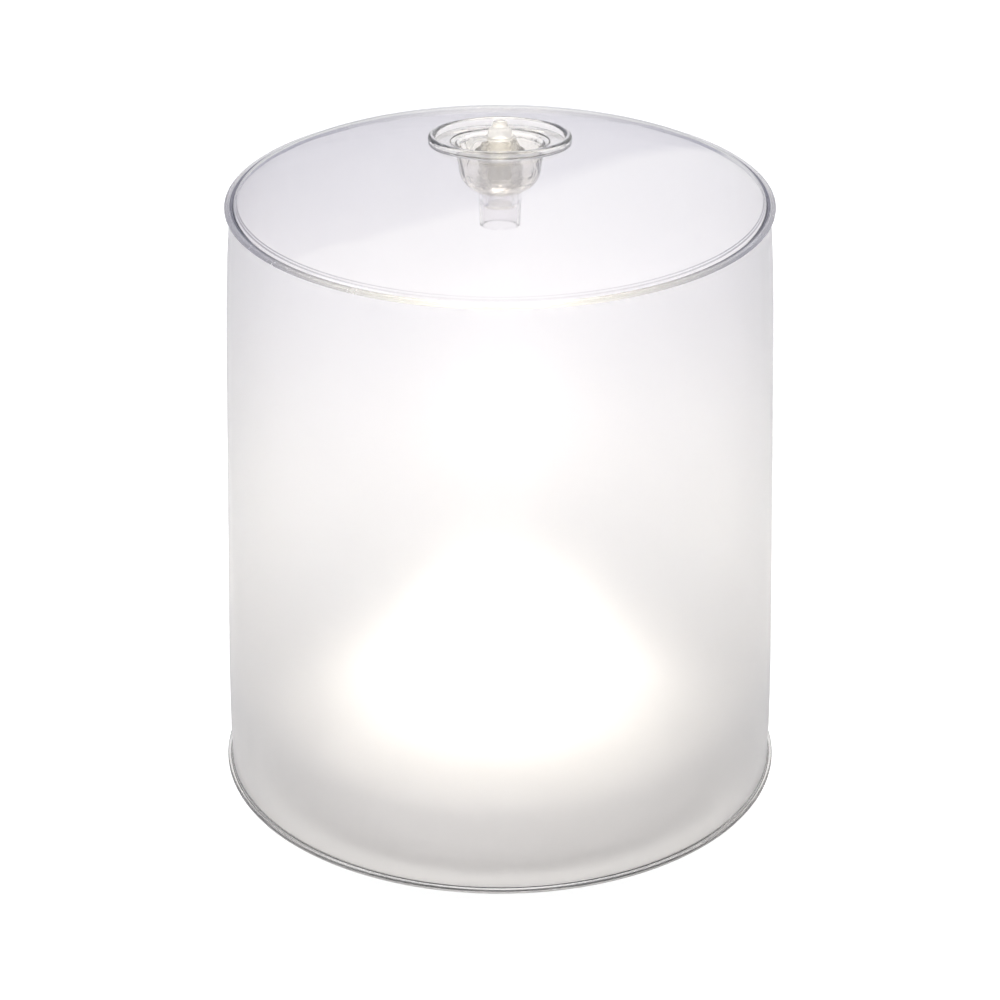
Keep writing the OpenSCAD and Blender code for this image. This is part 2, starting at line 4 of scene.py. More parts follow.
import bpy
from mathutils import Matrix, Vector


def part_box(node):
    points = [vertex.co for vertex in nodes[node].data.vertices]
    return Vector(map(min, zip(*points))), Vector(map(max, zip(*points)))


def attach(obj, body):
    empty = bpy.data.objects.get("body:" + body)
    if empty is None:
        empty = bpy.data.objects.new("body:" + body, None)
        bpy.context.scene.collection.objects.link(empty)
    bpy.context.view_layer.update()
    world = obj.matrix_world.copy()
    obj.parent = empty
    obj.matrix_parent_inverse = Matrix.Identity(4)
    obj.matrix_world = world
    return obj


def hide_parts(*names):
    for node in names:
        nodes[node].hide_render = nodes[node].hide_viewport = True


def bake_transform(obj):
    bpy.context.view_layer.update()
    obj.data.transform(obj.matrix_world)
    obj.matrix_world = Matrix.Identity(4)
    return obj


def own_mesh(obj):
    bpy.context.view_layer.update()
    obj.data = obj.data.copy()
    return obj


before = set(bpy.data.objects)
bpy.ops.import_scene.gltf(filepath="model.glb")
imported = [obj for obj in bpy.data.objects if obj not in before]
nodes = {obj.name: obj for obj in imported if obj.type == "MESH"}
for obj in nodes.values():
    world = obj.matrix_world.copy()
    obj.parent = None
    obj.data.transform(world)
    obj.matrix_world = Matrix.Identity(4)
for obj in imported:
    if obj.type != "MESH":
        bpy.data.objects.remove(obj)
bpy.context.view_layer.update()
scene = bpy.context.scene


def feed(tree, node, values):
    # values name the node's sockets and hold a number, a colour or the socket that feeds it
    for label, value in values.items():
        if isinstance(value, bpy.types.NodeSocket):
            tree.links.new(value, node.inputs[label])
        else:
            node.inputs[label].default_value = value


def put(tree, kind, values=None, **settings):
    node = tree.nodes.new("ShaderNode" + kind)
    for key, value in settings.items():
        setattr(node, key, value)
    feed(tree, node, values or {})
    return node


def facing(place, target):
    return (Vector(target) - Vector(place)).to_track_quat("-Z", "Y").to_euler()


cameraSpec = {"distance": 0.536, "pitch": 26.56, "aimHeight": 0.04964, "lens": 115.6, "sensor": 36}


def makeCamera(spec):
    pitch = math.radians(spec["pitch"])
    data = bpy.data.cameras.new("camera")
    data.lens, data.sensor_width = spec["lens"], spec["sensor"]
    camera = bpy.data.objects.new("camera", data)
    aim = Vector((0, 0, spec["aimHeight"]))
    camera.location = aim + spec["distance"] * Vector((0, -math.cos(pitch), math.sin(pitch)))
    camera.rotation_euler = (math.pi / 2 - pitch, 0, 0)
    scene.collection.objects.link(camera)
    scene.camera = camera


# the soft boxes round the lantern: each faces its target, and its power is in watts.
# A mirrored lamp shows in glossy and clear pieces
lampSpecs = {
    "overheadBox": {"place": (0.36, 0.62, 0.78), "target": (0, 0, 0.1), "width": 0.6, "length": 0.5,
                    "power": 1.13, "colour": (1.0, 0.99, 0.98), "mirrored": False},
    "leftBox": {"place": (-0.75, -0.35, 0.55), "target": (0, 0, 0.06), "width": 0.5, "length": 0.5,
                "power": 0.95, "colour": (0.97, 0.98, 1.0), "mirrored": True},
    "frontFill": {"place": (0.15, -1.1, 0.42), "target": (0, 0, 0.03), "width": 0.9, "length": 0.6,
                  "power": 3.6, "colour": (1.0, 0.985, 0.97), "mirrored": True},
}


def addLamp(name, data, place, turn, spec):
    data.energy, data.color = spec["power"], spec["colour"]
    lamp = bpy.data.objects.new(name, data)
    lamp.location, lamp.rotation_euler = place, turn
    lamp.visible_camera = False
    lamp.visible_glossy = lamp.visible_transmission = spec["mirrored"]
    scene.collection.objects.link(lamp)


def makeSoftBox(name, spec):
    data = bpy.data.lights.new(name, "AREA")
    data.shape, data.size, data.size_y = "RECTANGLE", spec["width"], spec["length"]
    addLamp(name, data, spec["place"], facing(spec["place"], spec["target"]), spec)


# the lamps inside the envelope, with turn and spread in degrees. candleGlow is the lit lens: a disc just
# above it, which faces up. candleSpill is the light that falls back on the top of the housing
innerLampSpecs = {
    "candleGlow": {"height": 0.019, "radius": 0.013, "turn": 180, "spread": 180,
                   "power": 0.037, "colour": (1.0, 0.93, 0.8), "mirrored": True},
    "candleSpill": {"height": 0.06, "radius": 0.02, "turn": 0, "spread": 100,
                    "power": 0.0095, "colour": (1.0, 0.95, 0.84), "mirrored": False},
}


def makeInnerLamp(name, spec):
    data = bpy.data.lights.new(name, "AREA")
    data.shape, data.size, data.spread = "DISK", 2 * spec["radius"], math.radians(spec["spread"])
    addLamp(name, data, (0, 0, spec["height"]), (math.radians(spec["turn"]), 0, 0), spec)


# colour and strength light all pieces. The camera sees backColour behind them. Clear and glossy pieces
# show mirrorColour, belowColour under the horizon, and the dim areas of the studio. A dim area begins
# where the cosine between a ray and its way is start, and has its own colour where it is full
skySpec = {
    "colour": (0.97, 0.975, 1.0, 1),
    "strength": 0.67,
    "backColour": (1, 1, 1, 1),
    "mirrorColour": (0.88, 0.88, 0.89, 1),
    "belowColour": (1.0, 0.99, 0.975, 1),
    "horizon": (-0.02, 0.02),
    "dimAreas": [
        {"way": (-0.637, 0.754, -0.158), "start": 0.612, "full": 0.629, "colour": (0.56, 0.56, 0.62, 1)},
        {"way": (0.0, -0.94, 0.34), "start": 0.3, "full": 0.7, "colour": (0.52, 0.51, 0.53, 1)},
    ],
}


def makeWorld(spec):
    world = bpy.data.worlds.new("studio")
    scene.world = world
    world.use_nodes = True
    tree = world.node_tree
    tree.nodes.clear()
    path = put(tree, "LightPath")
    sky = put(tree, "Background", {"Color": spec["colour"], "Strength": spec["strength"]})
    # what clear pieces mirror and bend
    way = put(tree, "TexCoord").outputs["Generated"]
    tone = spec["mirrorColour"]
    for area in spec["dimAreas"]:
        near = put(tree, "VectorMath", {0: way, 1: area["way"]}, operation="DOT_PRODUCT").outputs["Value"]
        share = put(tree, "MapRange", {"Value": near, "From Min": area["start"], "From Max": area["full"]})
        tone = put(tree, "Mix", {0: share.outputs["Result"], 6: tone, 7: area["colour"]},
                   data_type="RGBA").outputs[2]
    upward = put(tree, "SeparateXYZ", {0: way}).outputs["Z"]
    low, high = spec["horizon"]
    upward = put(tree, "MapRange", {"Value": upward, "From Min": low, "From Max": high}).outputs["Result"]
    tone = put(tree, "Mix", {0: upward, 6: spec["belowColour"], 7: tone}, data_type="RGBA").outputs[2]
    tone = put(tree, "Mix", {0: path.outputs["Is Camera Ray"], 6: tone, 7: spec["backColour"]},
               data_type="RGBA")
    back = put(tree, "Background", {"Color": tone.outputs[2], "Strength": 1})
    seen = put(tree, "Math", {0: path.outputs["Is Camera Ray"], 1: path.outputs["Is Glossy Ray"]},
               operation="MAXIMUM")
    seen = put(tree, "Math", {0: seen.outputs[0], 1: path.outputs["Is Transmission Ray"]},
               operation="MAXIMUM")
    mix = put(tree, "MixShader", {0: seen.outputs[0], 1: sky.outputs[0], 2: back.outputs[0]})
    put(tree, "OutputWorld", {"Surface": mix.outputs[0]})


# lift is how much the floor glows to the camera, and liftThrough how much to rays through the film.
# paintedLightStrip is the distance from the middle, in metres, where that glow, a painted strip of light,
# begins to fall and where it ends
floorSpec = {
    "radius": 2.0, "openingRadius": 0.0452, "sides": 96, "drop": 0.0001,
    "colour": (0.9, 0.9, 0.91, 1), "lift": 0.52, "liftThrough": 0.21, "paintedLightStrip": (0.03, 0.16),
}


def makeFloor(spec):
    # a disc with an opening under the lantern, so that its underside is lit in views from below
    mesh = bpy.data.meshes.new("floor")
    sides = spec["sides"]
    rim = [(radius * math.cos(2 * math.pi * i / sides), radius * math.sin(2 * math.pi * i / sides), 0)
           for radius in (spec["openingRadius"], spec["radius"]) for i in range(sides)]
    faces = [(i, sides + i, sides + (i + 1) % sides, (i + 1) % sides) for i in range(sides)]
    mesh.from_pydata(rim, [], faces)
    floor = bpy.data.objects.new("floor", mesh)
    floor.location.z = -spec["drop"]
    scene.collection.objects.link(floor)
    material = bpy.data.materials.new("paleFloor")
    material.use_nodes = True
    tree = material.node_tree
    tree.nodes.clear()
    # a lift that only shows behind the object makes the floor white and leaves its shadow
    path = put(tree, "LightPath")
    through = put(tree, "Math", {0: path.outputs["Is Glossy Ray"], 1: path.outputs["Is Transmission Ray"]},
                  operation="MAXIMUM")
    # painted light: seen through the film, the floor glows brightest in a strip behind the object
    across = put(tree, "SeparateXYZ", {0: put(tree, "TexCoord").outputs["Object"]}).outputs["X"]
    across = put(tree, "Math", {0: across}, operation="ABSOLUTE")
    bright, dark = spec["paintedLightStrip"]
    strip = put(tree, "MapRange", {"Value": across.outputs[0], "From Min": dark, "From Max": bright,
                                   "To Max": spec["liftThrough"]})
    through = put(tree, "Math", {0: through.outputs[0], 1: strip.outputs["Result"]}, operation="MULTIPLY")
    lift = put(tree, "Math", {0: path.outputs["Is Camera Ray"], 1: spec["lift"], 2: through.outputs[0]},
               operation="MULTIPLY_ADD")
    matt = put(tree, "BsdfDiffuse", {"Color": spec["colour"]})
    glow = put(tree, "Emission", {"Color": (1, 1, 1, 1), "Strength": lift.outputs[0]})
    both = put(tree, "AddShader", {0: matt.outputs[0], 1: glow.outputs[0]})
    # from below the floor is open, so that the underside can be looked at
    under = put(tree, "NewGeometry")
    clear = put(tree, "BsdfTransparent")
    mix = put(tree, "MixShader", {0: under.outputs["Backfacing"], 1: both.outputs[0], 2: clear.outputs[0]})
    put(tree, "OutputMaterial", {"Surface": mix.outputs[0]})
    mesh.materials.append(material)


makeCamera(cameraSpec)
makeWorld(skySpec)
makeFloor(floorSpec)
for lampName, lampSpec in lampSpecs.items():
    makeSoftBox(lampName, lampSpec)
for lampName, lampSpec in innerLampSpecs.items():
    makeInnerLamp(lampName, lampSpec)
scene.view_settings.view_transform = "Standard"
print("camera, floor and", len(lampSpecs) + len(innerLampSpecs), "lamps placed")


def newGroup(name, inputs, outputs):
    tree = bpy.data.node_groups.new(name, "ShaderNodeTree")
    for label, kind, value in inputs:
        socket = tree.interface.new_socket(label, in_out="INPUT", socket_type="NodeSocket" + kind)
        socket.default_value = value
    for label, kind in outputs:
        tree.interface.new_socket(label, in_out="OUTPUT", socket_type="NodeSocket" + kind)
    start = tree.nodes.new("NodeGroupInput")
    end = tree.nodes.new("NodeGroupOutput")
    return tree, start.outputs, end.inputs


def mixColour(tree, factor, first, second, blend="MIX"):
    return put(tree, "Mix", {0: factor, 6: first, 7: second}, data_type="RGBA", blend_type=blend).outputs[2]


def combine(tree, first, second, operation="ADD"):
    return put(tree, "Math", {0: first, 1: second}, operation=operation).outputs[0]


def absolute(tree, value):
    return put(tree, "Math", {0: value}, operation="ABSOLUTE").outputs[0]


def above(tree, value, limit):
    # 1 where the value is greater than the limit
    return put(tree, "Math", {0: value, 1: limit}, operation="GREATER_THAN").outputs[0]


def spread(tree, value, low, high, newLow=0.0, newHigh=1.0):
    return put(tree, "MapRange", {"Value": value, "From Min": low, "From Max": high,
                                  "To Min": newLow, "To Max": newHigh}).outputs["Result"]


grainSpec = {
    "fine": {"Detail": 3.0, "Roughness": 0.6},
    "wide": {"Detail": 2.0}, "wideScale": 0.14,
}


def buildGrain(spec):
    # fine tooth of a moulded or frosted surface
    inputs = [("Scale", "Float", 1500.0), ("Coarse Share", "Float", 0.3)]
    tree, given, out = newGroup("surfaceGrain", inputs, [("Height", "Float")])
    place = put(tree, "TexCoord").outputs["Object"]
    fine = put(tree, "TexNoise", {"Vector": place, "Scale": given["Scale"], **spec["fine"]})
    wideScale = combine(tree, given["Scale"], spec["wideScale"], "MULTIPLY")
    wide = put(tree, "TexNoise", {"Vector": place, "Scale": wideScale, **spec["wide"]})
    tree.links.new(put(tree, "Mix", {0: given["Coarse Share"], 2: fine.outputs[0], 3: wide.outputs[0]},
                       data_type="FLOAT").outputs[0], out["Height"])
    return tree


driftSpec = {"noise": {"Detail": 4.0, "Roughness": 0.55}, "range": (0.35, 0.65)}


def buildDrift(spec):
    # slow change between two close tones
    white = (1, 1, 1, 1)
    inputs = [("Main", "Color", white), ("Other", "Color", white), ("Scale", "Float", 40.0)]
    tree, given, out = newGroup("toneDrift", inputs, [("Colour", "Color")])
    place = put(tree, "TexCoord").outputs["Object"]
    noise = put(tree, "TexNoise", {"Vector": place, "Scale": given["Scale"], **spec["noise"]})
    mask = spread(tree, noise.outputs[0], *spec["range"])
    tree.links.new(mixColour(tree, mask, given["Main"], given["Other"]), out["Colour"])
    return tree


# smudges are wide clouds; hairs are thin scuffs, drawn out by stretch along one turned direction
handlingSpec = {
    "smudge": {"Detail": 5.0, "Distortion": 0.6}, "smudgeRange": (0.4, 0.7),
    "turn": (0.4, 0.2, 0.7), "stretch": (1.0, 26.0, 26.0),
    "hair": {"Detail": 2.0}, "hairScale": 2.0, "hairRange": (0.66, 0.74), "hairShare": 0.4,
}


def buildHandling(spec):
    # roughness with smudges and faint hairline scuffs
    inputs = [("Clean", "Float", 0.3), ("Smudged", "Float", 0.45), ("Scale", "Float", 60.0)]
    tree, given, out = newGroup("handling", inputs, [("Roughness", "Float")])
    place = put(tree, "TexCoord").outputs["Object"]
    smudge = put(tree, "TexNoise", {"Vector": place, "Scale": given["Scale"], **spec["smudge"]})
    turned = put(tree, "Mapping", {"Vector": place, "Rotation": spec["turn"], "Scale": spec["stretch"]})
    hairScale = combine(tree, given["Scale"], spec["hairScale"], "MULTIPLY")
    hairs = put(tree, "TexNoise", {"Vector": turned.outputs[0], "Scale": hairScale, **spec["hair"]})
    scuff = combine(tree, spread(tree, hairs.outputs[0], *spec["hairRange"]), spec["hairShare"], "MULTIPLY")
    mask = put(tree, "Math", {0: spread(tree, smudge.outputs[0], *spec["smudgeRange"]), 1: scuff},
               operation="ADD", use_clamp=True).outputs[0]
    tree.links.new(spread(tree, mask, 0.0, 1.0, given["Clean"], given["Smudged"]), out["Roughness"])
    return tree


def buildRingLine():
    # a thin line round an axis, where the distance from it is the radius
    inputs = [("Place", "Vector", (0, 0, 0)), ("Axis", "Vector", (0, 0, 1)), ("Radius", "Float", 0.04),
              ("Half Width", "Float", 0.0001), ("Soft Width", "Float", 0.0001)]
    tree, given, out = newGroup("ringLine", inputs, [("Mask", "Float")])
    arm = put(tree, "VectorMath", {0: put(tree, "TexCoord").outputs["Object"], 1: given["Place"]},
              operation="SUBTRACT").outputs[0]
    side = put(tree, "VectorMath", {0: arm, 1: given["Axis"]}, operation="CROSS_PRODUCT").outputs[0]
    far = put(tree, "VectorMath", {0: side}, operation="LENGTH").outputs["Value"]
    off = absolute(tree, combine(tree, far, given["Radius"], "SUBTRACT"))
    edge = combine(tree, given["Half Width"], given["Soft Width"])
    tree.links.new(spread(tree, off, edge, given["Half Width"]), out["Mask"])
    return tree


grainGroup = buildGrain(grainSpec)
driftGroup = buildDrift(driftSpec)
handlingGroup = buildHandling(handlingSpec)
ringLineGroup = buildRingLine()


def useGroup(tree, group, values):
    node = tree.nodes.new("ShaderNodeGroup")
    node.node_tree = group
    feed(tree, node, values)
    return node.outputs


def rgb(red, green, blue):
    return (red, green, blue, 1)


def newMaterial(name, spec):
    material = bpy.data.materials.new(name)
    material.use_nodes = True
    tree = material.node_tree
    tree.nodes.clear()
    main, other = spec["tones"]
    colour = useGroup(tree, driftGroup, {"Main": rgb(*main), "Other": rgb(*other),
                                         "Scale": spec["toneScale"]})
    rough = useGroup(tree, handlingGroup, {"Clean": spec["clean"], "Smudged": spec["smudged"],
                                           "Scale": spec["smudgeScale"]})
    grain = useGroup(tree, grainGroup, {"Scale": spec["grainScale"], "Coarse Share": spec["coarse"]})
    bump = put(tree, "Bump", {"Height": grain["Height"], "Distance": spec["bumpDepth"]})
    shader = put(tree, "BsdfPrincipled", {**spec["fixed"], "Base Color": colour["Colour"],
                                          "Roughness": rough["Roughness"], "Normal": bump.outputs[0]})
    surface = shader
    if "letsThrough" in spec:
        clear = put(tree, "BsdfTransparent", {"Color": rgb(*spec["letsThrough"])})
        path = put(tree, "LightPath")
        surface = put(tree, "MixShader", {0: path.outputs["Is Shadow Ray"], 1: shader.outputs[0],
                                          2: clear.outputs[0]})
    put(tree, "OutputMaterial", {"Surface": surface.outputs[0]})
    return material, shader


# fixed holds the shader's own values. The tone drifts between two tones, and the roughness runs from
# clean to smudged. bumpDepth is the depth of the grain in metres. letsThrough is the colour of lamp
# light that passes a clear piece, which then throws no hard shadow
finishes = {
    "frostedFilm": {
        "fixed": {"Transmission Weight": 0.72, "IOR": 1.42},
        "tones": ((0.943, 0.9405, 0.942), (0.928, 0.9255, 0.927)), "toneScale": 18,
        "clean": 0.3, "smudged": 0.335, "smudgeScale": 25,
        "grainScale": 2600, "coarse": 0.25, "bumpDepth": 0.00002,
        "letsThrough": (0.78, 0.78, 0.8),
    },
    "clearFilm": {
        "fixed": {"Transmission Weight": 1.0, "IOR": 1.46},
        "tones": ((0.952, 0.951, 0.974), (0.942, 0.941, 0.968)), "toneScale": 30,
        "clean": 0.02, "smudged": 0.05, "smudgeScale": 45,
        "grainScale": 500, "coarse": 0.6, "bumpDepth": 0.000003,
        "letsThrough": (0.93, 0.93, 0.94),
    },
    "topSeam": {
        # its Emission Strength gives the seam a painted glow
        "fixed": {"Transmission Weight": 0.88, "IOR": 1.35, "Emission Strength": 0.2},
        "tones": ((0.98, 0.97, 0.915), (0.965, 0.955, 0.905)), "toneScale": 90,
        "clean": 0.2, "smudged": 0.28, "smudgeScale": 160,
        "grainScale": 900, "coarse": 0.4, "bumpDepth": 0.000003,
        "letsThrough": (0.97, 0.97, 0.96),
    },
    "footSeam": {
        "fixed": {"Transmission Weight": 0.95, "IOR": 1.42},
        "tones": ((0.95, 0.945, 0.94), (0.92, 0.915, 0.91)), "toneScale": 90,
        "clean": 0.06, "smudged": 0.14, "smudgeScale": 160,
        "grainScale": 900, "coarse": 0.4, "bumpDepth": 0.00001,
        "letsThrough": (0.9, 0.89, 0.88),
    },
    "footFilm": {
        "fixed": {"Transmission Weight": 1.0, "IOR": 1.46},
        "tones": ((0.97, 0.965, 0.955), (0.96, 0.955, 0.945)), "toneScale": 30,
        "clean": 0.03, "smudged": 0.08, "smudgeScale": 45,
        "grainScale": 500, "coarse": 0.6, "bumpDepth": 0.000004,
        "letsThrough": (0.93, 0.92, 0.91),
    },
    "rimVinyl": {
        "fixed": {"Transmission Weight": 1.0, "IOR": 1.47},
        "tones": ((0.985, 0.985, 0.985), (0.97, 0.97, 0.97)), "toneScale": 120,
        "clean": 0.02, "smudged": 0.06, "smudgeScale": 180,
        "grainScale": 700, "coarse": 0.5, "bumpDepth": 0.000005,
        "letsThrough": (0.96, 0.96, 0.96),
    },
    "stemVinyl": {
        "fixed": {"Transmission Weight": 1.0, "IOR": 1.47},
        "tones": ((0.975, 0.965, 0.97), (0.96, 0.95, 0.955)), "toneScale": 120,
        "clean": 0.03, "smudged": 0.08, "smudgeScale": 180,
        "grainScale": 700, "coarse": 0.5, "bumpDepth": 0.00001,
        "letsThrough": (0.95, 0.945, 0.94),
    },
    "softVinyl": {
        "fixed": {"Transmission Weight": 0.97, "IOR": 1.44},
        "tones": ((0.995, 0.992, 0.985), (0.98, 0.972, 0.955)), "toneScale": 140,
        "clean": 0.05, "smudged": 0.1, "smudgeScale": 200,
        "grainScale": 900, "coarse": 0.6, "bumpDepth": 0.00001,
        "letsThrough": (0.97, 0.965, 0.955),
    },
    "milkyVinyl": {
        "fixed": {"Transmission Weight": 0.7, "IOR": 1.45},
        "tones": ((0.99, 0.985, 0.97), (0.975, 0.965, 0.945)), "toneScale": 160,
        "clean": 0.14, "smudged": 0.24, "smudgeScale": 200,
        "grainScale": 900, "coarse": 0.5, "bumpDepth": 0.00002,
        "letsThrough": (0.95, 0.94, 0.92),
    },
    "whiteHousing": {
        "fixed": {"IOR": 1.5},
        "tones": ((0.9, 0.895, 0.88), (0.875, 0.87, 0.85)), "toneScale": 30,
        "clean": 0.42, "smudged": 0.55, "smudgeScale": 60,
        "grainScale": 1800, "coarse": 0.25, "bumpDepth": 0.00003,
    },
    "sealRubber": {
        "fixed": {"IOR": 1.5},
        "tones": ((0.05, 0.05, 0.052), (0.075, 0.075, 0.078)), "toneScale": 200,
        "clean": 0.6, "smudged": 0.75, "smudgeScale": 200,
        "grainScale": 1500, "coarse": 0.4, "bumpDepth": 0.00002,
    },
    "polishedClear": {
        "fixed": {"Transmission Weight": 1.0, "IOR": 1.49},
        "tones": ((0.97, 0.975, 0.98), (0.95, 0.955, 0.96)), "toneScale": 40,
        "clean": 0.01, "smudged": 0.05, "smudgeScale": 70,
        "grainScale": 700, "coarse": 0.5, "bumpDepth": 0.000003,
        "letsThrough": (0.92, 0.92, 0.93),
    },
    "lampPhosphor": {
        "fixed": {"Emission Color": rgb(1.0, 0.85, 0.55), "Emission Strength": 4.0},
        "tones": ((0.95, 0.8, 0.35), (0.98, 0.86, 0.45)), "toneScale": 500,
        "clean": 0.3, "smudged": 0.4, "smudgeScale": 300,
        "grainScale": 3000, "coarse": 0.4, "bumpDepth": 0.00001,
    },
    "whiteReflector": {
        "fixed": {"IOR": 1.5},
        "tones": ((0.92, 0.92, 0.91), (0.89, 0.89, 0.88)), "toneScale": 60,
        "clean": 0.25, "smudged": 0.35, "smudgeScale": 90,
        "grainScale": 1500, "coarse": 0.3, "bumpDepth": 0.00001,
    },
    "foamTape": {
        "fixed": {"IOR": 1.4},
        "tones": ((0.07, 0.07, 0.07), (0.11, 0.11, 0.11)), "toneScale": 400,
        "clean": 0.8, "smudged": 0.95, "smudgeScale": 200,
        "grainScale": 2500, "coarse": 0.5, "bumpDepth": 0.00008,
    },
    "panelBoard": {
        "fixed": {"IOR": 1.5},
        "tones": ((0.8, 0.8, 0.77), (0.76, 0.76, 0.73)), "toneScale": 80,
        "clean": 0.45, "smudged": 0.6, "smudgeScale": 90,
        "grainScale": 2200, "coarse": 0.4, "bumpDepth": 0.00002,
    },
    "connectorNylon": {
        "fixed": {"IOR": 1.5},
        "tones": ((0.82, 0.8, 0.72), (0.78, 0.76, 0.68)), "toneScale": 150,
        "clean": 0.35, "smudged": 0.5, "smudgeScale": 150,
        "grainScale": 1500, "coarse": 0.3, "bumpDepth": 0.00002,
    },
    "blackSheath": {
        "fixed": {"IOR": 1.5},
        "tones": ((0.03, 0.03, 0.032), (0.05, 0.05, 0.052)), "toneScale": 300,
        "clean": 0.3, "smudged": 0.42, "smudgeScale": 300,
        "grainScale": 900, "coarse": 0.6, "bumpDepth": 0.00002,
    },
    "redSheath": {
        "fixed": {"IOR": 1.5},
        "tones": ((0.5, 0.03, 0.03), (0.42, 0.025, 0.03)), "toneScale": 300,
        "clean": 0.3, "smudged": 0.42, "smudgeScale": 300,
        "grainScale": 900, "coarse": 0.6, "bumpDepth": 0.00002,
    },
    "switchBody": {
        "fixed": {"IOR": 1.5},
        "tones": ((0.035, 0.035, 0.037), (0.05, 0.05, 0.053)), "toneScale": 250,
        "clean": 0.4, "smudged": 0.55, "smudgeScale": 250,
        "grainScale": 2000, "coarse": 0.3, "bumpDepth": 0.00003,
    },
    "switchSpring": {
        "fixed": {"Metallic": 1.0},
        "tones": ((0.75, 0.73, 0.68), (0.68, 0.66, 0.61)), "toneScale": 300,
        "clean": 0.18, "smudged": 0.32, "smudgeScale": 300,
        "grainScale": 2500, "coarse": 0.3, "bumpDepth": 0.000005,
    },
    "greyButton": {
        "fixed": {"IOR": 1.5},
        "tones": ((0.3, 0.31, 0.32), (0.26, 0.27, 0.28)), "toneScale": 120,
        "clean": 0.45, "smudged": 0.58, "smudgeScale": 150,
        "grainScale": 1800, "coarse": 0.3, "bumpDepth": 0.00003,
    },
    "screwSteel": {
        "fixed": {"Metallic": 1.0},
        "tones": ((0.62, 0.62, 0.63), (0.52, 0.52, 0.53)), "toneScale": 300,
        "clean": 0.22, "smudged": 0.4, "smudgeScale": 350,
        "grainScale": 2500, "coarse": 0.3, "bumpDepth": 0.00001,
    },
    "circuitMask": {
        "fixed": {"IOR": 1.5, "Coat Weight": 0.3},
        "tones": ((0.8, 0.81, 0.79), (0.76, 0.77, 0.75)), "toneScale": 60,
        "clean": 0.3, "smudged": 0.42, "smudgeScale": 90,
        "grainScale": 1500, "coarse": 0.3, "bumpDepth": 0.00001,
    },
    "moulding": {
        "fixed": {"IOR": 1.5},
        "tones": ((0.04, 0.04, 0.043), (0.06, 0.06, 0.065)), "toneScale": 300,
        "clean": 0.4, "smudged": 0.55, "smudgeScale": 300,
        "grainScale": 2500, "coarse": 0.3, "bumpDepth": 0.00002,
    },
    "cellBlue": {
        "fixed": {"IOR": 1.4, "Coat Weight": 0.1},
        "tones": ((0.01, 0.015, 0.045), (0.02, 0.022, 0.06)), "toneScale": 150,
        "clean": 0.2, "smudged": 0.32, "smudgeScale": 120,
        "grainScale": 900, "coarse": 0.5, "bumpDepth": 0.000005,
    },
    "batteryFoil": {
        "fixed": {"Metallic": 0.85},
        "tones": ((0.72, 0.73, 0.74), (0.66, 0.67, 0.68)), "toneScale": 90,
        "clean": 0.25, "smudged": 0.4, "smudgeScale": 120,
        "grainScale": 260, "coarse": 0.8, "bumpDepth": 0.0001,
    },
}

materials = {}
shaders = {}
for finishName, finish in finishes.items():
    materials[finishName], shaders[finishName] = newMaterial(finishName, finish)


def treeOf(name):
    return materials[name].node_tree


def recolour(name, factor, tone, blend="MIX"):
    # lays one more tone over a finish where factor is 1
    tree, target = treeOf(name), shaders[name].inputs["Base Color"]
    tree.links.new(mixColour(tree, factor, target.links[0].from_socket, rgb(*tone), blend), target)


def axisValue(tree, axis):
    place = put(tree, "TexCoord").outputs["Object"]
    return put(tree, "SeparateXYZ", {0: place}).outputs[axis]


def stripes(tree, value, halfPitch, share):
    # 1 on thin lines, which are two half pitches apart and cover this share of the surface
    step = put(tree, "Math", {0: value, 1: halfPitch}, operation="PINGPONG").outputs[0]
    return put(tree, "Math", {0: step, 1: halfPitch * share}, operation="LESS_THAN").outputs[0]


cellPrint = {
    "fingerHalfPitch": 0.0011, "fingerShare": 0.09,
    "collectorHalfPitch": 0.00295, "collectorShare": 0.05, "tone": (0.62, 0.63, 0.66),
}


def dressCells(spec):
    # fine silver fingers across each strip, and a collector line along it
    tree = treeOf("cellBlue")
    fingers = stripes(tree, axisValue(tree, "Y"), spec["fingerHalfPitch"], spec["fingerShare"])
    collectors = stripes(tree, axisValue(tree, "X"), spec["collectorHalfPitch"], spec["collectorShare"])
    recolour("cellBlue", combine(tree, fingers, collectors, "MAXIMUM"), spec["tone"])


boardPrint = {"scale": 170.0, "lineRange": (0.42, 0.45), "regionScale": 70.0, "regionRange": (0.52, 0.54),
              "tone": (0.62, 0.66, 0.6)}


def dressBoard(spec):
    # buried tracks that show as a slightly darker print under the mask
    tree = treeOf("circuitMask")
    place = put(tree, "TexCoord").outputs["Object"]
    cells = put(tree, "TexVoronoi", {"Vector": place, "Scale": spec["scale"], "Randomness": 0.0},
                feature="F1", distance="CHEBYCHEV")
    lines = spread(tree, cells.outputs["Distance"], *spec["lineRange"])
    region = put(tree, "TexNoise", {"Vector": place, "Scale": spec["regionScale"], "Detail": 0.0})
    shown = combine(tree, lines, spread(tree, region.outputs[0], *spec["regionRange"]), "MULTIPLY")
    recolour("circuitMask", shown, spec["tone"])


chipTones = {"darkShare": 0.6, "tone": (0.42, 0.33, 0.24)}


def dressChips(spec):
    # most of the small parts are dark, the rest are brown
    tree = treeOf("moulding")
    island = put(tree, "NewGeometry").outputs["Random Per Island"]
    recolour("moulding", above(tree, island, spec["darkShare"]), spec["tone"])


batteryTape = {"start": 0.0152, "tone": (0.55, 0.3, 0.04)}


def dressBattery(spec):
    # the folded end of the cell has a strip of amber tape, which starts at this x in metres
    tree = treeOf("batteryFoil")
    recolour("batteryFoil", above(tree, axisValue(tree, "X"), spec["start"]), spec["tone"])


# the middle of the valve's rim, the way that the valve points, and the rim's outer radius
valveSpec = {"place": (0, 0.0166, 0.107477), "axis": (0, 0.093812, 0.99559), "rimRadius": 0.0118}
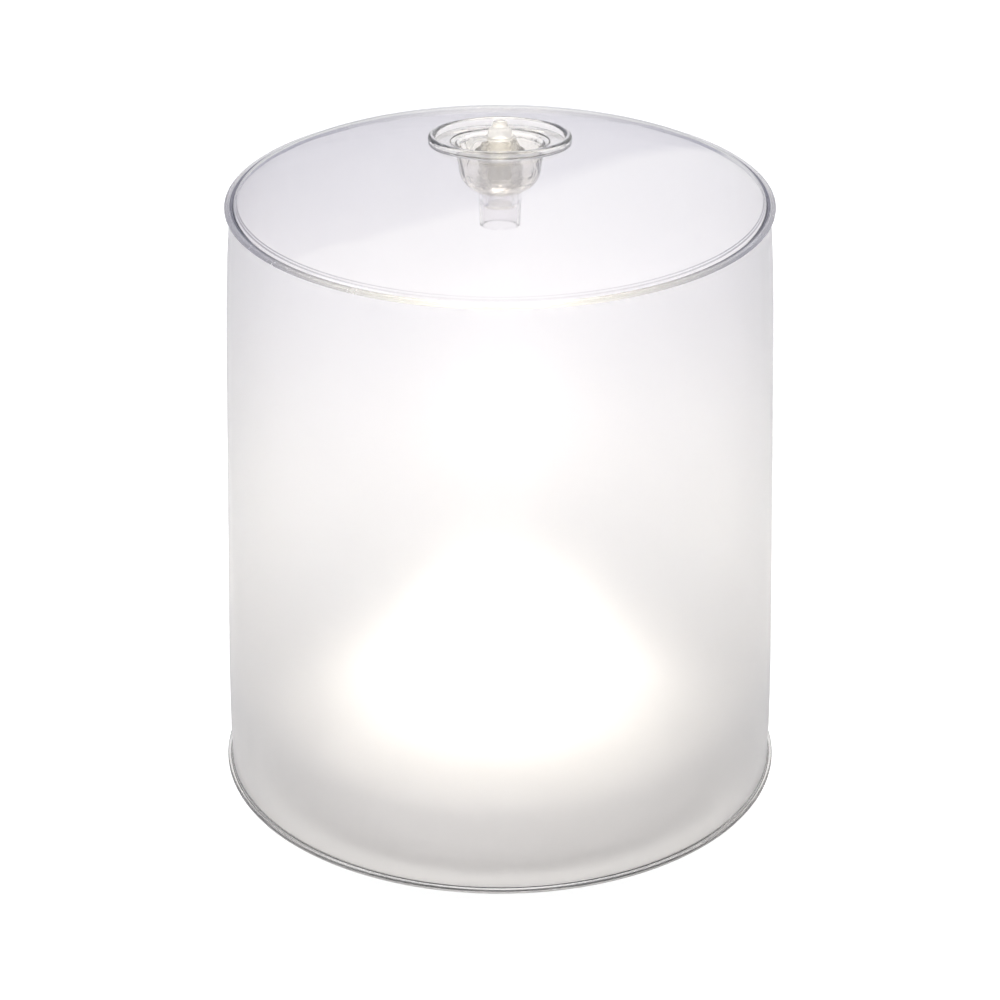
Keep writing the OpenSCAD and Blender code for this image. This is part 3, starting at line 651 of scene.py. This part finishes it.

# painted shade: the dark lines in clear seams and the rim stand in for the dark edges that bent light shows
# at their sides. A line is its radius, half width and soft width in metres.
# spared is the share of it that is left at the front and back
paintedShadeLines = {
    "topSeam": {"tone": (0.1, 0.1, 0.14), "spared": 0.3, "lines": [(0.0427, 0.0002, 0.00014)]},
    "clearFilm": {"tone": (0.3, 0.29, 0.34), "spared": 0.15, "lines": [(0.04195, 0.00004, 0.00008)]},
    "footSeam": {"tone": (0.34, 0.335, 0.33), "spared": 0.15,
                 "lines": [(0.04614, 0.00003, 0.00008), (0.04636, 0.00006, 0.00006),
                           (0.04698, 0.00006, 0.00008)]},
    "rimVinyl": {"tone": (0.25, 0.25, 0.26), "spared": 0.8,
                 "lines": [(0.0108, 0.00004, 0.0001), (0.0116, 0.00005, 0.00008)],
                 "place": valveSpec["place"], "axis": valveSpec["axis"]},
}
paintedLightSideRange = (0.15, 0.85)  # the share of the radius, to left or right, where a side begins and is full


def paintedLightSideShare(tree, least):
    # 1 at the left and right sides of the piece, falling to least at its front and back: the mask for
    # painted shade at the sides and for painted glow at the front and back
    point = put(tree, "TexCoord").outputs["Object"]
    flat = put(tree, "VectorMath", {0: point, 1: (1, 1, 0)}, operation="MULTIPLY").outputs[0]
    way = put(tree, "VectorMath", {0: flat}, operation="NORMALIZE").outputs[0]
    across = absolute(tree, put(tree, "SeparateXYZ", {0: way}).outputs["X"])
    return spread(tree, across, *paintedLightSideRange, least, 1.0)


def paintShadeLines(name, spec):
    # painted shade: the dark lines are strongest at the sides and fade toward front and back
    tree = treeOf(name)
    share = paintedLightSideShare(tree, spec["spared"])
    place, axis = spec.get("place", (0, 0, 0)), spec.get("axis", (0, 0, 1))
    for radius, half, soft in spec["lines"]:
        mask = useGroup(tree, ringLineGroup, {"Place": place, "Axis": axis, "Radius": radius,
                                              "Half Width": half, "Soft Width": soft})["Mask"]
        recolour(name, combine(tree, mask, share, "MULTIPLY"), spec["tone"])


softNoise = {"dent": {"Detail": 2.0, "Distortion": 0.8}, "mottle": {"Detail": 3.0, "Distortion": 1.2}}


def roughen(name, factor, value):
    # brings the roughness to value where factor is 1
    tree, target = treeOf(name), shaders[name].inputs["Roughness"]
    mixed = put(tree, "Mix", {0: factor, 2: target.links[0].from_socket, 3: value}, data_type="FLOAT")
    tree.links.new(mixed.outputs[0], target)


def dent(name, factor, scale, depth):
    # soft uneven dents where factor is 1
    tree, target = treeOf(name), shaders[name].inputs["Normal"]
    place = put(tree, "TexCoord").outputs["Object"]
    noise = put(tree, "TexNoise", {"Vector": place, "Scale": scale, **softNoise["dent"]})
    height = combine(tree, noise.outputs[0], factor, "MULTIPLY")
    bump = put(tree, "Bump", {"Height": height, "Distance": depth, "Normal": target.links[0].from_socket})
    tree.links.new(bump.outputs[0], target)


def mottle(tree, scale, low, high):
    place = put(tree, "TexCoord").outputs["Object"]
    noise = put(tree, "TexNoise", {"Vector": place, "Scale": scale, **softNoise["mottle"]})
    return spread(tree, noise.outputs[0], low, high)


# heights, in metres, are where the look of the bowl or stem sets in and where it is full
valveDress = {
    "bowl": {"heights": (0.1062, 0.1052), "tone": (0.96, 0.94, 0.9), "mottleScale": 330.0,
             "mottleRange": (0.3, 0.62), "rough": 0.16, "dentScale": 260.0, "dentDepth": 0.0006},
    "stem": {"heights": (0.0984, 0.0992), "tone": (0.985, 0.968, 0.93), "rough": 0.26,
             "dentScale": 420.0, "dentDepth": 0.0005},
}


def dressBowl(spec):
    # the bowl is cream and uneven, and the web above it is clear
    tree = treeOf("softVinyl")
    low = spread(tree, axisValue(tree, "Z"), *spec["heights"])
    patches = mottle(tree, spec["mottleScale"], *spec["mottleRange"])
    recolour("softVinyl", combine(tree, low, patches, "MULTIPLY"), spec["tone"])
    roughen("softVinyl", low, spec["rough"])
    dent("softVinyl", low, spec["dentScale"], spec["dentDepth"])


def dressStem(spec):
    # the stem is cream and uneven inside the bowl, and clear below it
    tree = treeOf("stemVinyl")
    high = spread(tree, axisValue(tree, "Z"), *spec["heights"])
    recolour("stemVinyl", high, spec["tone"])
    roughen("stemVinyl", high, spec["rough"])
    dent("stemVinyl", high, spec["dentScale"], spec["dentDepth"])


# heights, in metres, are where a tone of the wall sets in and where it is full
wallShadeAndTint = [
    # painted shade toward the foot
    {"heights": (0.055, 0.006), "tone": (0.9, 0.886, 0.866)},
    {"heights": (0.06, 0.1), "tone": (0.964, 0.962, 0.986)},
]


def paintWallShadeAndTint(tones):
    # painted shade: the film is darker and warmer toward the foot, standing in for the shade near the floor,
    # and it is cooler under the top seam
    tree = treeOf("frostedFilm")
    height = axisValue(tree, "Z")
    for spec in tones:
        recolour("frostedFilm", spread(tree, height, *spec["heights"]), spec["tone"], "MULTIPLY")


# painted light: a grey shade painted on the sides of the top seam, and the colours of its painted glow at
# front and back and at the sides
topSeamPaintedLight = {"paintedSideShade": (0.82, 0.82, 0.87), "paintedFrontGlow": (1.0, 0.95, 0.8), "paintedSideGlow": (0.2, 0.2, 0.23)}


def paintTopSeamLight(spec):
    # painted light and shade: the welded edge has a painted glow at its front and back, and painted grey
    # shade at the sides
    tree = treeOf("topSeam")
    share = paintedLightSideShare(tree, 0.0)
    recolour("topSeam", share, spec["paintedSideShade"], "MULTIPLY")
    glow = mixColour(tree, share, rgb(*spec["paintedFrontGlow"]), rgb(*spec["paintedSideGlow"]))
    tree.links.new(glow, shaders["topSeam"].inputs["Emission Color"])


paintWallShadeAndTint(wallShadeAndTint)
dressBowl(valveDress["bowl"])
dressStem(valveDress["stem"])
paintTopSeamLight(topSeamPaintedLight)
for finishName, lineSpec in paintedShadeLines.items():
    paintShadeLines(finishName, lineSpec)
dressCells(cellPrint)
dressBoard(boardPrint)
dressChips(chipTones)
dressBattery(batteryTape)

# the finish of each node
nodeFinishes = {
    "top_weld_ring": "topSeam", "bottom_weld_ring": "footSeam", "valve_rim": "rimVinyl",
    "valve_stem": "stemVinyl", "check_flap": "milkyVinyl", "stopper": "milkyVinyl",
    "base_tray": "whiteHousing", "base_cover": "whiteHousing", "seal_ring": "sealRubber",
    "panel_window": "polishedClear", "solar_cells": "cellBlue", "solar_panel": "panelBoard",
    "panel_tape": "foamTape", "circuit_board": "circuitMask", "board_parts": "moulding",
    "candle_lamps": "lampPhosphor", "lamp_reflector": "whiteReflector", "lamp_lens": "polishedClear",
    "battery_cell": "batteryFoil", "battery_pad": "foamTape", "battery_leads": "blackSheath",
    "battery_socket": "connectorNylon", "panel_leads": "redSheath", "tact_switch": "switchBody",
    "switch_dome": "switchSpring", "switch_plunger": "switchBody", "power_button": "greyButton",
    "button_seal": "sealRubber", "charge_pipes": "polishedClear", "charge_lamps": "lampPhosphor",
    "housing_screws": "screwSteel", "board_screws": "screwSteel", "side_wall": "frostedFilm",
    "top_film": "clearFilm", "bottom_film": "footFilm", "valve_collar": "softVinyl",
    "stopper_tether": "milkyVinyl",
}
for nodeName, finishName in nodeFinishes.items():
    nodes[nodeName].material_slots[0].material = materials[finishName]
print("finishes built:", len(materials))


smoothAngle = 50  # in degrees; an edge that turns more than this stays sharp


def makeFilm(name, rings, thickness, finish):
    # a film through closed rings of points, with half of its thickness on each side of them
    count = len(rings[0])
    points = [p for ring in rings for p in ring]
    faces = [(row + i, row + (i + 1) % count, row + count + (i + 1) % count, row + count + i)
             for row in range(0, count * (len(rings) - 1), count) for i in range(count)]
    mesh = bpy.data.meshes.new(name)
    mesh.from_pydata(points, [], faces)
    piece = bpy.data.objects.new(name, mesh)
    scene.collection.objects.link(piece)
    skin = piece.modifiers.new("skin", "SOLIDIFY")
    skin.thickness, skin.offset = thickness, 0
    bpy.context.view_layer.update()
    shaped = bpy.data.meshes.new_from_object(piece.evaluated_get(bpy.context.evaluated_depsgraph_get()))
    piece.modifiers.clear()
    piece.data = shaped
    shaped.materials.clear()
    shaped.materials.append(materials[finish])
    shaped.polygons.foreach_set("use_smooth", [True] * len(shaped.polygons))
    shaped.set_sharp_from_angle(angle=math.radians(smoothAngle))
    return piece


def makeWaves(seed, lowest, highest, count):
    # a sum of whole waves round a circle, so it closes; returns a function of the angle
    draw = random.Random(seed)
    terms = [(draw.randint(lowest, highest), draw.uniform(0, 2 * math.pi), draw.uniform(0.5, 1))
             for _ in range(count)]
    total = sum(weight for _, _, weight in terms)
    return lambda angle: sum(weight * math.sin(n * angle + phase) for n, phase, weight in terms) / total


puckerGain = 2.2


def puckerShare(distance):
    # puckers start a little away from the seam and fade out; distance is in reaches from the seam
    return puckerGain * distance * math.exp(-distance)


# waves are a seed, the fewest and most waves round the circle, and how many are added up. foldedShare
# is the part of its height that the wall keeps when the lantern is folded
wallSpec = {
    "footRadius": 0.0465, "headRadius": 0.0436, "footPinch": 0.0006, "headPinch": 0.0008, "pinchPower": 12,
    "film": 0.0004, "sides": 256, "rows": 72, "pucker": 0.00012, "puckerReach": 0.006, "sway": 0.00012,
    "headWaves": (3, 24, 70, 9), "footWaves": (8, 24, 70, 9), "slowWaves": (5, 3, 9, 4),
    "foldedShare": 0.21875,
}


def makeSideWall(spec):
    low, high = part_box("side_wall")
    headWaves, footWaves = makeWaves(*spec["headWaves"]), makeWaves(*spec["footWaves"])
    slowWaves = makeWaves(*spec["slowWaves"])
    rings = []
    for row in range(spec["rows"] + 1):
        share = (1 - math.cos(math.pi * row / spec["rows"])) / 2
        height = (high.z - low.z) * share
        radius = (spec["footRadius"] + (spec["headRadius"] - spec["footRadius"]) * share
                  - spec["headPinch"] * share ** spec["pinchPower"]
                  - spec["footPinch"] * (1 - share) ** spec["pinchPower"])
        fromFoot, fromHead = height / spec["puckerReach"], (high.z - low.z - height) / spec["puckerReach"]
        footShare, headShare = spec["pucker"] * puckerShare(fromFoot), spec["pucker"] * puckerShare(fromHead)
        ring = []
        for i in range(spec["sides"]):
            angle = 2 * math.pi * i / spec["sides"]
            r = (radius + footShare * footWaves(angle) + headShare * headWaves(angle)
                 + spec["sway"] * math.sin(math.pi * share) * slowWaves(angle))
            ring.append((r * math.cos(angle), r * math.sin(angle), low.z + height))
        rings.append(ring)
    wall = makeFilm("sideWall", rings, spec["film"], "frostedFilm")
    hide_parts("side_wall")
    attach(wall, "base")
    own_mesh(wall)


domeSpec = {
    "radius": 0.0424, "height": 0.0048, "power": 2.2, "film": 0.0004, "seamHeight": 0.1031,
    "sides": 288, "rows": 64, "pucker": 0.00001, "rimPucker": 0.00001, "puckerReach": 0.005,
    "seamWaves": (11, 14, 40, 9), "rimWaves": (12, 5, 13, 6), "rimSteps": 6,
}


def domeRise(spec, r):
    return spec["height"] * math.sqrt(max(0, 1 - (r / spec["radius"]) ** spec["power"]))


def rimPoint(spec, valve, angle):
    # where the film meets the outside of the valve's tilted rim
    out, back = valve["rimRadius"] * math.cos(angle), valve["rimRadius"] * math.sin(angle)
    _, lean, up = valve["axis"]
    depth = 0
    for _ in range(spec["rimSteps"]):
        y = valve["place"][1] + back * up + depth * lean
        z = valve["place"][2] - back * lean + depth * up
        depth += spec["seamHeight"] + domeRise(spec, math.hypot(out, y)) - z
    return out, y


def makeTopFilm(spec, valve):
    # the film runs from the valve's rim out to the seam, and then down its short foot
    seamWaves, rimWaves = makeWaves(*spec["seamWaves"]), makeWaves(*spec["rimWaves"])
    rings = []
    for row in range(spec["rows"] + 1):
        share = math.sin(math.pi / 2 * row / spec["rows"])
        ring = []
        for i in range(spec["sides"]):
            angle = 2 * math.pi * i / spec["sides"]
            innerX, innerY = rimPoint(spec, valve, angle)
            x = innerX + (spec["radius"] * math.cos(angle) - innerX) * share
            y = innerY + (spec["radius"] * math.sin(angle) - innerY) * share
            r = math.hypot(x, y)
            seamGap = (spec["radius"] - r) / spec["puckerReach"]
            rimGap = math.hypot(x - innerX, y - innerY) / spec["puckerReach"]
            z = spec["seamHeight"] + domeRise(spec, r)
            z += spec["pucker"] * puckerShare(seamGap) * seamWaves(angle)
            z += spec["rimPucker"] * rimGap * math.exp(-rimGap) * rimWaves(angle)
            ring.append((x, y, z))
        rings.append(ring)
    rings.append([(x, y, z - spec["film"]) for x, y, z in rings[-1]])
    film = makeFilm("topFilm", rings, spec["film"], "clearFilm")
    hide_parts("top_film")
    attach(film, "top")


# the flat welded edges: distance from the axis and height of each point, in millimetres
seamProfiles = {
    "topSeam": ((42.62, 102.56), (43.0, 102.56), (43.02, 102.85), (43.8, 102.88), (43.88, 102.95),
                (43.9, 103.05), (43.88, 103.18), (43.8, 103.26), (43.05, 103.34), (42.95, 103.45),
                (42.82, 103.48), (42.7, 103.44), (42.62, 103.3)),
    "footSeam": ((45.72, 2.45), (46.9, 2.45), (46.97, 2.5), (47.0, 2.6), (47.0, 2.8), (46.97, 2.9),
                 (46.9, 2.95), (46.5, 2.97), (46.44, 3.06), (46.34, 3.09), (46.24, 3.06), (46.18, 3.0),
                 (46.14, 3.1), (46.12, 3.4), (45.72, 3.4)),
}

seamSides = 320


def makeSeam(name, nodeName, body):
    sides = seamSides
    profile = [(r / 1000, z / 1000) for r, z in seamProfiles[name]]
    count = len(profile)
    points = [(r * math.cos(2 * math.pi * i / sides), r * math.sin(2 * math.pi * i / sides), z)
              for i in range(sides) for r, z in profile]
    faces = [(i * count + j, (i + 1) % sides * count + j, (i + 1) % sides * count + (j + 1) % count,
              i * count + (j + 1) % count) for i in range(sides) for j in range(count)]
    mesh = bpy.data.meshes.new(name)
    mesh.from_pydata(points, [], faces)
    mesh.polygons.foreach_set("use_smooth", [True] * len(mesh.polygons))
    mesh.set_sharp_from_angle(angle=math.radians(smoothAngle))
    mesh.materials.append(materials[name])
    seam = bpy.data.objects.new(name, mesh)
    scene.collection.objects.link(seam)
    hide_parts(nodeName)
    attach(seam, body)


footFilmSpec = {"inner": 0.0383, "outer": 0.0457, "film": 0.0004, "sides": 256, "rows": 10,
                "pucker": 0.00018, "waves": (21, 40, 110, 10)}


def makeFootFilm(spec):
    # the ring of film between the housing and the foot seam, drawn into short radial folds
    low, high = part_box("bottom_film")
    waves = makeWaves(*spec["waves"])
    middle = (low.z + high.z) / 2
    rings = []
    for row in range(spec["rows"] + 1):
        share = row / spec["rows"]
        r = spec["inner"] + (spec["outer"] - spec["inner"]) * share
        lift = spec["pucker"] * math.sin(math.pi * share)
        rings.append([(r * math.cos(a), r * math.sin(a), middle + lift * waves(a))
                      for a in (2 * math.pi * i / spec["sides"] for i in range(spec["sides"]))])
    film = makeFilm("footFilm", rings, spec["film"], "footFilm")
    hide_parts("bottom_film")
    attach(film, "base")


def copyNode(name, nodeName, finish):
    # a piece of its own with a copy of the node's mesh, for soft forms
    mesh = nodes[nodeName].data.copy()
    mesh.materials.clear()
    mesh.materials.append(materials[finish])
    piece = bpy.data.objects.new(name, mesh)
    scene.collection.objects.link(piece)
    return piece


def makeCollar():
    collar = copyNode("valveCollar", "valve_collar", "softVinyl")
    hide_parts("valve_collar")
    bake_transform(collar)


def makeTether():
    tether = copyNode("stopperTether", "stopper_tether", "milkyVinyl")
    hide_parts("stopper_tether")
    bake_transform(tether)


makeSideWall(wallSpec)
makeTopFilm(domeSpec, valveSpec)
makeFootFilm(footFilmSpec)
makeSeam("topSeam", "top_weld_ring", "top")
makeSeam("footSeam", "bottom_weld_ring", "base")
makeCollar()
makeTether()
print("soft pieces built")
